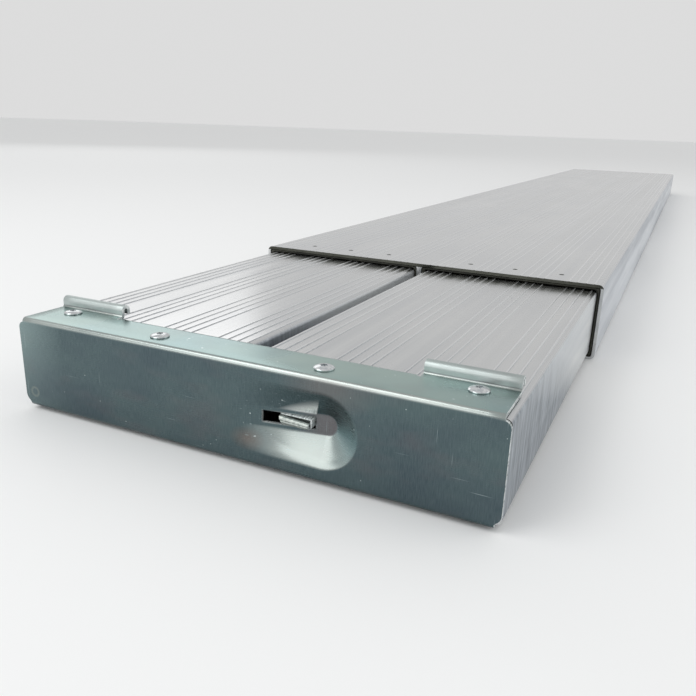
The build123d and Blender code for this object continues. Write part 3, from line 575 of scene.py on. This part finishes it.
def edges_in(geometry):
    """The edges among what an operator made."""
    return [part for part in geometry if isinstance(part, bmesh.types.BMEdge)]


def as_object(mesh_tool, name, materials):
    """Turns a bmesh in millimetres into an object in metres."""
    mesh_tool.transform(Matrix.Scale(MM, 4))
    mesh = bpy.data.meshes.new(name)
    mesh_tool.to_mesh(mesh)
    mesh_tool.free()
    piece = bpy.data.objects.new(name, mesh)
    bpy.context.collection.objects.link(piece)
    for material in materials:
        mesh.materials.append(material)
    return piece


def apply_modifiers(piece):
    """Makes the modifiers' result the piece's own mesh."""
    graph = bpy.context.evaluated_depsgraph_get()
    graph.update()
    mesh = bpy.data.meshes.new_from_object(piece.evaluated_get(graph))
    piece.modifiers.clear()
    piece.data = mesh


def smooth(piece, angle=35):
    """Shades a piece smooth up to an angle."""
    piece.data.polygons.foreach_set("use_smooth", [True] * len(piece.data.polygons))
    piece.data.set_sharp_from_angle(angle=math.radians(angle))


def cut(piece, tool):
    """Cuts one object's shape out of another and removes the tool."""
    modifier = piece.modifiers.new("cut", "BOOLEAN")
    modifier.operation = "DIFFERENCE"
    modifier.solver = "EXACT"
    modifier.object = tool
    apply_modifiers(piece)
    bpy.data.objects.remove(tool)


def bevel(piece, width, finish=-1):
    """Rounds a piece's sharp edges, in that slot's finish or, with -1, that of the faces beside."""
    modifier = piece.modifiers.new("edges", "BEVEL")
    modifier.width = width * MM
    modifier.segments = 2
    modifier.limit_method = "ANGLE"
    modifier.angle_limit = math.radians(SHARP)
    modifier.material = finish
    apply_modifiers(piece)


# ---------------------------------------------------------------- end cap
def soft_least(a, b, reach):
    """The lesser of two values, rounded where they cross."""
    if reach <= 0:
        return min(a, b)
    h = max(0.0, min(1.0, 0.5 + 0.5 * (b - a) / reach))
    return b * (1 - h) + a * h - reach * h * (1 - h)


def scoop_depth(x, z):
    """How deep the pressed scoop is at a place on the cap's face."""
    if x <= SCOOP_START:
        return 0.0
    up = abs(z - SCOOP_MIDDLE)
    floor = SCOOP_DEPTH * min(1.0, (x - SCOOP_START) / (SCOOP_END - SCOOP_START))
    reach = up if x <= SCOOP_END else math.hypot(x - SCOOP_END, up)
    wall = floor * (SCOOP_RADIUS - reach) / (SCOOP_RADIUS - SCOOP_FLOOR)
    ease = floor / SCOOP_DEPTH
    depth = soft_least(floor, wall, 0.3 * ease)
    return max(0.0, -soft_least(0.0, -depth, 2.2 * ease) - 0.55 * ease * max(0.0, 1 - depth / 2.2))


def edge_of_face(z):
    """How far out the face plate reaches at a height, with its corners rounded."""
    reach = CAP_SIDE
    for corner, radius in ((CAP_BOTTOM + BEND, 5.0), (CAP_TOP - BEND, 3.6)):
        away = abs(z - corner)
        if away < radius:
            reach = CAP_SIDE - radius + math.sqrt(radius**2 - (radius - away) ** 2)
    return max(FLANGE_SIDE + 0.3, reach)


def end_cap():
    """The cap: one blank with a pressed scoop, folded at its top and bottom, with two rolled hooks."""
    half = stations(HOOK_NEAR, (FLANGE_SIDE, 8.0), (CAP_SIDE, 0.8))
    past_scoop = SCOOP_END + SCOOP_RADIUS + 3
    right = stations(SCOOP_START - 1, (SLOT[0], 0.6), (SLOT[1], 0.6), (past_scoop, 0.6))
    right += stations(right[-1], (HOOK_NEAR - NOTCH, 5.0), (HOOK_NEAR, NOTCH))[1:]
    left = stations(-HOOK_NEAR, (-HOOK_NEAR + NOTCH, NOTCH), (SCOOP_START - 1, 6.0))
    columns = [-x for x in reversed(half)] + left[1:] + right[1:] + half[1:]

    path = [(y, CAP_BOTTOM) for y in stations(FLANGE_DEPTH, (BEND, 8.0))]
    path += arc((BEND, CAP_BOTTOM + BEND), BEND, 270, 180, 6)
    face_from = len(path) - 1
    slot_low = SCOOP_MIDDLE - SLOT_HALF
    slot_high = SCOOP_MIDDLE + SLOT_HALF
    scoop_top = SCOOP_MIDDLE + SCOOP_RADIUS
    up_face = stations(
        CAP_BOTTOM + BEND,
        (SCOOP_MIDDLE - SCOOP_RADIUS + 0.5, 0.8),
        (slot_low, 0.6),
        (slot_high, 0.6),
        (scoop_top, 0.6),
        (CAP_TOP - BEND, 0.7),
    )
    path += [(0.0, z) for z in up_face[1:]]
    face_to = len(path) - 1
    path += arc((BEND, CAP_TOP - BEND), BEND, 180, 90, 6)
    path += [(y, CAP_TOP) for y in stations(BEND, (FLANGE_DEPTH - 3.0, 8.0), (FLANGE_DEPTH, 3.0))[1:]]
    flange_to = len(path) - 1
    path += [(HOOK_FRONT - INNER_BEND, CAP_TOP)]
    path += arc((HOOK_FRONT - INNER_BEND, CAP_TOP + INNER_BEND), INNER_BEND, -90, 0, 6)
    path += [(HOOK_FRONT, HOOK_TOP - HOOK_RADIUS)]
    path += arc((HOOK_FRONT + HOOK_RADIUS, HOOK_TOP - HOOK_RADIUS), HOOK_RADIUS, 180, 0, 14)
    path += [(HOOK_FRONT + 2 * HOOK_RADIUS, HOOK_TIP)]

    blank, places = sheet_blank(columns, path)
    for (i, j), vert in places.items():
        x, (y, z) = columns[i], path[j]
        if face_from <= j <= face_to:
            if abs(x) > FLANGE_SIDE:
                share = (abs(x) - FLANGE_SIDE) / (CAP_SIDE - FLANGE_SIDE)
                x = math.copysign(FLANGE_SIDE + share * (edge_of_face(z) - FLANGE_SIDE), x)
            y = scoop_depth(x, z)
        vert.co = (x, FACE + y, z)
    column_of = {vert: i for (i, j), vert in places.items()}
    row_of = {vert: j for (i, j), vert in places.items()}
    waste = []
    for face in blank.faces:
        x = sum(columns[column_of[v]] for v in face.verts) / 4
        j = sum(row_of[v] for v in face.verts) / 4
        z = sum(path[row_of[v]][1] for v in face.verts) / 4
        on_face = face_from < j < face_to
        in_slot = on_face and SLOT[0] < x < SLOT[1] and slot_low < z < slot_high
        beyond_flange = not on_face and abs(x) > FLANGE_SIDE
        between_hooks = j > flange_to and abs(x) < HOOK_NEAR
        in_notch = flange_to - 1 < j < flange_to and HOOK_NEAR - NOTCH < abs(x) < HOOK_NEAR
        if in_slot or beyond_flange or between_hooks or in_notch:
            waste.append(face)
    bmesh.ops.delete(blank, geom=waste, context="FACES")
    blank.normal_update()
    front = next(f for f in blank.faces if abs(f.normal.y) > 0.99 and f.calc_center_median().x < -20)
    if front.normal.y > 0:
        bmesh.ops.reverse_faces(blank, faces=blank.faces)
    cap = as_object(blank, "folded_end_cap", [plated_sheet, cut_edge])
    thicken = cap.modifiers.new("sheet", "SOLIDIFY")
    thicken.thickness = SHEET * MM
    thicken.offset = -1.0
    thicken.material_offset_rim = 1
    apply_modifiers(cap)

    holes = bmesh.new()
    for x, y in TOP_SCREWS:
        bmesh.ops.create_cone(
            holes,
            cap_ends=True,
            segments=40,
            radius1=SCREW_CLEARANCE,
            radius2=SCREW_CLEARANCE,
            depth=8.0,
            matrix=Matrix.Translation((x, y, CAP_TOP - 1)),
        )
    for x, y in BOTTOM_SCREWS:
        bmesh.ops.create_cone(
            holes,
            cap_ends=True,
            segments=40,
            radius1=COUNTERSINK[0],
            radius2=COUNTERSINK[1],
            depth=3.4,
            matrix=Matrix.Translation((x, y, CAP_BOTTOM + 1.6)),
        )
    cut(cap, as_object(holes, "screw_holes", []))
    bevel(cap, 0.3, finish=1)
    smooth(cap)
    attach(cap, "inner_section")
    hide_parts("end_cap")


# ---------------------------------------------------------------- screws
def button_screws():
    """Four low button-head screws: a thin rim, a flat dome and a six-lobe socket."""
    turned = bmesh.new()
    # radius and height, from the tip up to the crown of the head
    outline = [
        (0.0, SCREW_TIP),
        (THREAD - 0.6, SCREW_TIP),
        (THREAD, SCREW_TIP + 0.6),
        (THREAD, CAP_TOP + 0.02),
        (5.0, CAP_TOP + 0.02),
        (5.2, CAP_TOP + 0.2),
        (5.2, CAP_TOP + 0.72),
        (4.95, CAP_TOP + 0.98),
        (4.3, CAP_TOP + 1.28),
        (3.4, CAP_TOP + 1.56),
        (2.5, CAP_TOP + 1.76),
        (1.6, CAP_TOP + 1.88),
        (0.0, CAP_TOP + 1.95),
    ]
    loop = [turned.verts.new((r, 0, z)) for r, z in outline]
    edges = [turned.edges.new(pair) for pair in zip(loop, loop[1:])]
    bmesh.ops.spin(
        turned,
        geom=loop + edges,
        cent=(0, 0, 0),
        axis=(0, 0, 1),
        angle=math.tau,
        steps=48,
        use_merge=True,
        use_duplicate=False,
    )
    bmesh.ops.remove_doubles(turned, verts=turned.verts, dist=0.001)
    bmesh.ops.recalc_face_normals(turned, faces=turned.faces)
    one = as_object(turned, "screw", [zinc])

    lobes = bmesh.new()
    made = bmesh.ops.create_circle(lobes, cap_ends=True, segments=72, radius=1.0)
    for vert in made["verts"]:
        turn = math.atan2(vert.co.y, vert.co.x)
        vert.co *= 1.72 + 0.26 * math.cos(6 * turn)
        vert.co.z = CAP_TOP + 0.7
    raised = bmesh.ops.extrude_face_region(lobes, geom=list(lobes.faces))["geom"]
    bmesh.ops.translate(lobes, verts=verts_in(raised), vec=(0, 0, 4))
    bmesh.ops.recalc_face_normals(lobes, faces=lobes.faces)
    cut(one, as_object(lobes, "socket", []))

    all_four = bmesh.new()
    for turn, (x, y) in enumerate(TOP_SCREWS):
        before = len(all_four.verts)
        all_four.from_mesh(one.data)
        all_four.verts.ensure_lookup_table()
        added = all_four.verts[before:]
        bmesh.ops.scale(all_four, verts=added, vec=(1 / MM, 1 / MM, 1 / MM))
        bmesh.ops.rotate(
            all_four, verts=added, cent=(0, 0, 0), matrix=Matrix.Rotation(0.4 + turn * 0.9, 3, "Z")
        )
        bmesh.ops.translate(all_four, verts=added, vec=(x, y, 0))
    bpy.data.objects.remove(one)
    screws = as_object(all_four, "button_head_screws", [zinc])
    smooth(screws, 38)
    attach(screws, "inner_section")
    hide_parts("cap_screws_top")


# ---------------------------------------------------------------- latch lever
def tab_roll():
    """The finger tab's ridged roll of strip, which dips to the right."""
    nose = TAB_FRONT + ROLL_HEIGHT / 2
    middle = ROLL_BOTTOM + ROLL_HEIGHT / 2
    path = [(y, ROLL_BOTTOM + ROLL_HEIGHT) for y in stations(TAB_BACK, (nose, 1.2))]
    path += arc((nose, middle), ROLL_HEIGHT / 2, 90, 270, 28)
    path += [(y, ROLL_BOTTOM) for y in stations(nose, (TAB_BACK, 1.2))[1:]]
    columns = stations(TAB[0], (TAB[1] - 1.3, 0.5))
    blank, places = sheet_blank(columns, path)
    for (i, j), vert in places.items():
        x, (y, z) = columns[i], path[j]
        along_tab = (x - TAB[0]) / (TAB[1] - TAB[0])
        up = (z - ROLL_BOTTOM) / ROLL_HEIGHT
        if y < nose:
            turn = math.atan2(z - middle, nose - y)
            groove = 0.35 * max(0.0, math.cos(turn * 9)) ** 2 if up < 0.6 else 0.0
            sink = groove + 0.06 * math.sin(x * 5.1 + turn * 3)
            y += sink * math.cos(turn)
            z -= sink * math.sin(turn)
        z += up * (0.5 - 1.3 * along_tab)
        # the roll's lower side is trimmed slantwise at its left end
        x += 2.4 * (1 - up) * (1 - along_tab)
        vert.co = (x, FACE + y, z)
    blank.normal_update()
    top = max(blank.faces, key=lambda f: f.calc_center_median().z)
    if top.normal.z < 0:
        bmesh.ops.reverse_faces(blank, faces=blank.faces)
    strip = as_object(blank, "roll", [latch_steel, cut_edge])
    thicken = strip.modifiers.new("sheet", "SOLIDIFY")
    thicken.thickness = ROLL_WALL * MM
    thicken.offset = -1.0
    thicken.material_offset_rim = 1
    apply_modifiers(strip)
    bevel(strip, 0.2)
    return strip


def tab_lip():
    """The thin lip over the roll, cranked down to the arm behind and turned down at its right end."""
    under = LIP_TOP - LIP_SHEET
    on_arm = LEVER_TOP - 0.3
    front = TAB_FRONT + 2.4
    back = TAB_BACK + 0.1
    profile = [
        (front, under),
        (back - 0.9, under),
        (back - 0.9, on_arm),
        (back, on_arm),
        (back, LIP_TOP),
        (front, LIP_TOP),
    ]
    lip = bmesh.new()
    lip.faces.new([lip.verts.new((TAB[0] + 0.3, FACE + y, z)) for y, z in profile])
    drawn = bmesh.ops.extrude_face_region(lip, geom=list(lip.faces))["geom"]
    bmesh.ops.translate(lip, verts=verts_in(drawn), vec=(TAB[1] - TAB[0] - 0.3, 0, 0))
    bmesh.ops.recalc_face_normals(lip, faces=lip.faces)
    low = LEVER_MIDDLE - 1.2
    end = bmesh.ops.create_cube(lip, size=1.0)["verts"]
    end_place = (TAB[1] - LIP_SHEET / 2 + 0.05, FACE + 6.2, (LIP_TOP + low) / 2 - 0.05)
    bmesh.ops.scale(lip, verts=end, vec=(LIP_SHEET, 4.6, LIP_TOP - low))
    bmesh.ops.translate(lip, verts=end, vec=end_place)
    piece = as_object(lip, "lip", [cut_edge])
    bevel(piece, 0.15)
    return piece


def latch_lever():
    """The latch lever: a flat arm with an eye at the pivot, a ramped nose and the finger tab."""
    # the arm seen from above, in X and in depth behind the cap's face
    plan = [
        (TAB[0] + 0.3, 7.5),
        (TAB[1] - 0.1, 7.5),
        (TAB[1] - 0.1, 14.0),
        (33.0, 38.0),
        (31.6, 46.0),
        (22.0, 54.0),
        (17.0, 72.0),
        (17.0, 84.0),
        (8.0, 84.0),
        (-3.0, 74.0),
        (-3.0, 72.0),
        (9.5, 72.0),
        (10.5, 58.0),
        (16.0, 44.0),
        (16.5, 38.0),
        (TAB[0] + 0.3, 14.0),
    ]
    arm = bmesh.new()
    arm.faces.new([arm.verts.new((x, FACE + y, LEVER_MIDDLE - LEVER_THICK / 2)) for x, y in plan])
    raised = bmesh.ops.extrude_face_region(arm, geom=list(arm.faces))["geom"]
    bmesh.ops.translate(arm, verts=verts_in(raised), vec=(0, 0, LEVER_THICK))
    bmesh.ops.recalc_face_normals(arm, faces=arm.faces)
    lever = as_object(arm, "latch_arm", [latch_steel, cut_edge])
    hole = bmesh.new()
    bmesh.ops.create_cone(
        hole,
        cap_ends=True,
        segments=40,
        radius1=PIN_HOLE,
        radius2=PIN_HOLE,
        depth=8.0,
        matrix=Matrix.Translation((*PIVOT, LEVER_MIDDLE)),
    )
    cut(lever, as_object(hole, "pivot_hole", []))
    bevel(lever, 0.25)
    tab = tab_roll()
    lip = tab_lip()
    whole = bmesh.new()
    whole.from_mesh(lever.data)
    whole.from_mesh(tab.data)
    before = len(whole.faces)
    whole.from_mesh(lip.data)
    whole.faces.ensure_lookup_table()
    # the lip takes the bright sheared-edge finish all over, lighter than the lever's own steel: a
    # painted highlight
    for face in whole.faces[before:]:
        face.material_index = 1
    lug = bmesh.ops.create_cube(whole, size=1.0)["verts"]
    bmesh.ops.scale(whole, verts=lug, vec=Vector(LUG_SIZE) * MM)
    bmesh.ops.translate(whole, verts=lug, vec=Vector(LUG) * MM)
    whole.transform(Matrix.Scale(1 / MM, 4))
    bpy.data.objects.remove(lever)
    bpy.data.objects.remove(tab)
    bpy.data.objects.remove(lip)
    done = as_object(whole, "folded_latch_lever", [latch_steel, cut_edge])
    smooth(done)
    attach(done, "latch")
    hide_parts("latch_lever")


# ---------------------------------------------------------------- latch spring
def wound_wire(name, first, last, leg_in, leg_out):
    """Wire wound round the pin from one angle to another, in degrees, with a leg before and after."""
    coil = bmesh.new()
    ring = bmesh.ops.create_circle(coil, segments=14, radius=SPRING_WIRE)["verts"]
    bmesh.ops.rotate(coil, verts=ring, cent=(0, 0, 0), matrix=Matrix.Rotation(math.radians(90), 3, "X"))
    bmesh.ops.translate(coil, verts=ring, vec=(SPRING_RADIUS, -leg_in, 0))
    edges = list(coil.edges)
    if leg_in:
        made = bmesh.ops.extrude_edge_only(coil, edges=edges)["geom"]
        bmesh.ops.translate(coil, verts=verts_in(made), vec=(0, leg_in, 0))
        edges = [edge for edge in edges_in(made) if all(abs(v.co.y) < 0.001 for v in edge.verts)]
    turned = last - first
    steps = math.ceil(turned / 10)
    rise = SPRING_PITCH * turned / 360
    wound = bmesh.ops.spin(
        coil,
        geom=edges + list({v for e in edges for v in e.verts}),
        cent=(0, 0, 0),
        axis=(0, 0, 1),
        dvec=(0, 0, rise / steps),
        angle=math.radians(turned),
        steps=steps,
        use_duplicate=False,
    )["geom_last"]
    if leg_out:
        made = bmesh.ops.extrude_edge_only(coil, edges=edges_in(wound))["geom"]
        ahead = Matrix.Rotation(math.radians(turned), 3, "Z") @ Vector((0, leg_out, 0))
        bmesh.ops.translate(coil, verts=verts_in(made), vec=ahead)
    bmesh.ops.holes_fill(coil, edges=[e for e in coil.edges if e.is_boundary])
    bmesh.ops.recalc_face_normals(coil, faces=coil.faces)
    coil.transform(Matrix.Rotation(math.radians(first), 4, "Z"))
    coil.transform(Matrix.Translation((*PIVOT, SPRING_LOW + SPRING_PITCH * first / 360)))
    return as_object(coil, name, [wire])


def torsion_spring():
    """The latch spring: its coil and upper leg stay on the pin, its lower leg turns with the lug."""
    overlap = 15  # degrees, so that the two meet inside the first turn
    coil = wound_wire("latch_spring_coil", overlap, 360 * SPRING_TURNS, 0.0, SPRING_UPPER_LEG)
    leg = wound_wire("latch_spring_leg", 0, 2 * overlap, SPRING_LOWER_LEG, 0.0)
    for piece, body in ((coil, "inner_section"), (leg, "latch")):
        smooth(piece)
        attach(piece, body)
        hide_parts("latch_spring")


end_cap()
button_screws()
latch_lever()
torsion_spring()


# ---------------------------------------------------------------- floor, light and camera
def floor():
    """A wide pale floor."""
    slab = bmesh.new()
    bmesh.ops.create_grid(slab, x_segments=1, y_segments=1, size=FLOOR_REACH)
    ground = as_object(slab, "studio_floor", [])
    material, _, shader, _ = finish_named("pale_floor")
    shader.inputs["Base Color"].default_value = paint("#F1F2F2")
    shader.inputs["Roughness"].default_value = 0.85
    ground.data.materials.append(material)


def panel(name, place, aim, size, power):
    """A soft rectangular light, aimed at a point."""
    lamp = bpy.data.lights.new(name, "AREA")
    lamp.shape = "RECTANGLE"
    lamp.size, lamp.size_y = size
    lamp.energy = power
    light = bpy.data.objects.new(name, lamp)
    light.location = place
    light.rotation_euler = (Vector(aim) - Vector(place)).to_track_quat("-Z", "Y").to_euler()
    bpy.context.collection.objects.link(light)


floor()
world = bpy.data.worlds.new("studio")
world.use_nodes = True
world.node_tree.nodes["Background"].inputs["Color"].default_value = paint("#FFFFFF")
world.node_tree.nodes["Background"].inputs["Strength"].default_value = 0.72
bpy.context.scene.world = world
bpy.context.scene.view_settings.view_transform = "Standard"
cap_place = Vector((0.0, FACE * MM, 0.05))
beside_cap = cap_place + Vector((0.1, 0.3, 0.0))
panel("back_left_panel", cap_place + Vector((-2.9, 2.7, 1.75)), cap_place, (2.1, 1.5), 9)
panel("front_left_panel", cap_place + Vector((-0.95, -2.05, 0.95)), cap_place, (1.9, 1.5), 11)
panel("right_panel", cap_place + Vector((2.3, 0.9, 1.5)), beside_cap, (2.2, 1.5), 9)
panel("ceiling_panel", cap_place + Vector((-0.95, -0.9, 1.8)), cap_place, (1.3, 1.1), 12)

# from the front right and a little above, close by
camera_data = bpy.data.cameras.new("camera")
camera_data.lens = 35.73
camera_data.sensor_width = 36.0
camera = bpy.data.objects.new("camera", camera_data)
camera.location = (0.19462, FACE * MM - 0.26868, 0.16928)
camera.rotation_euler = Euler([math.radians(a) for a in (72.17, -1.88, 25.77)])
bpy.context.collection.objects.link(camera)
bpy.context.scene.camera = camera
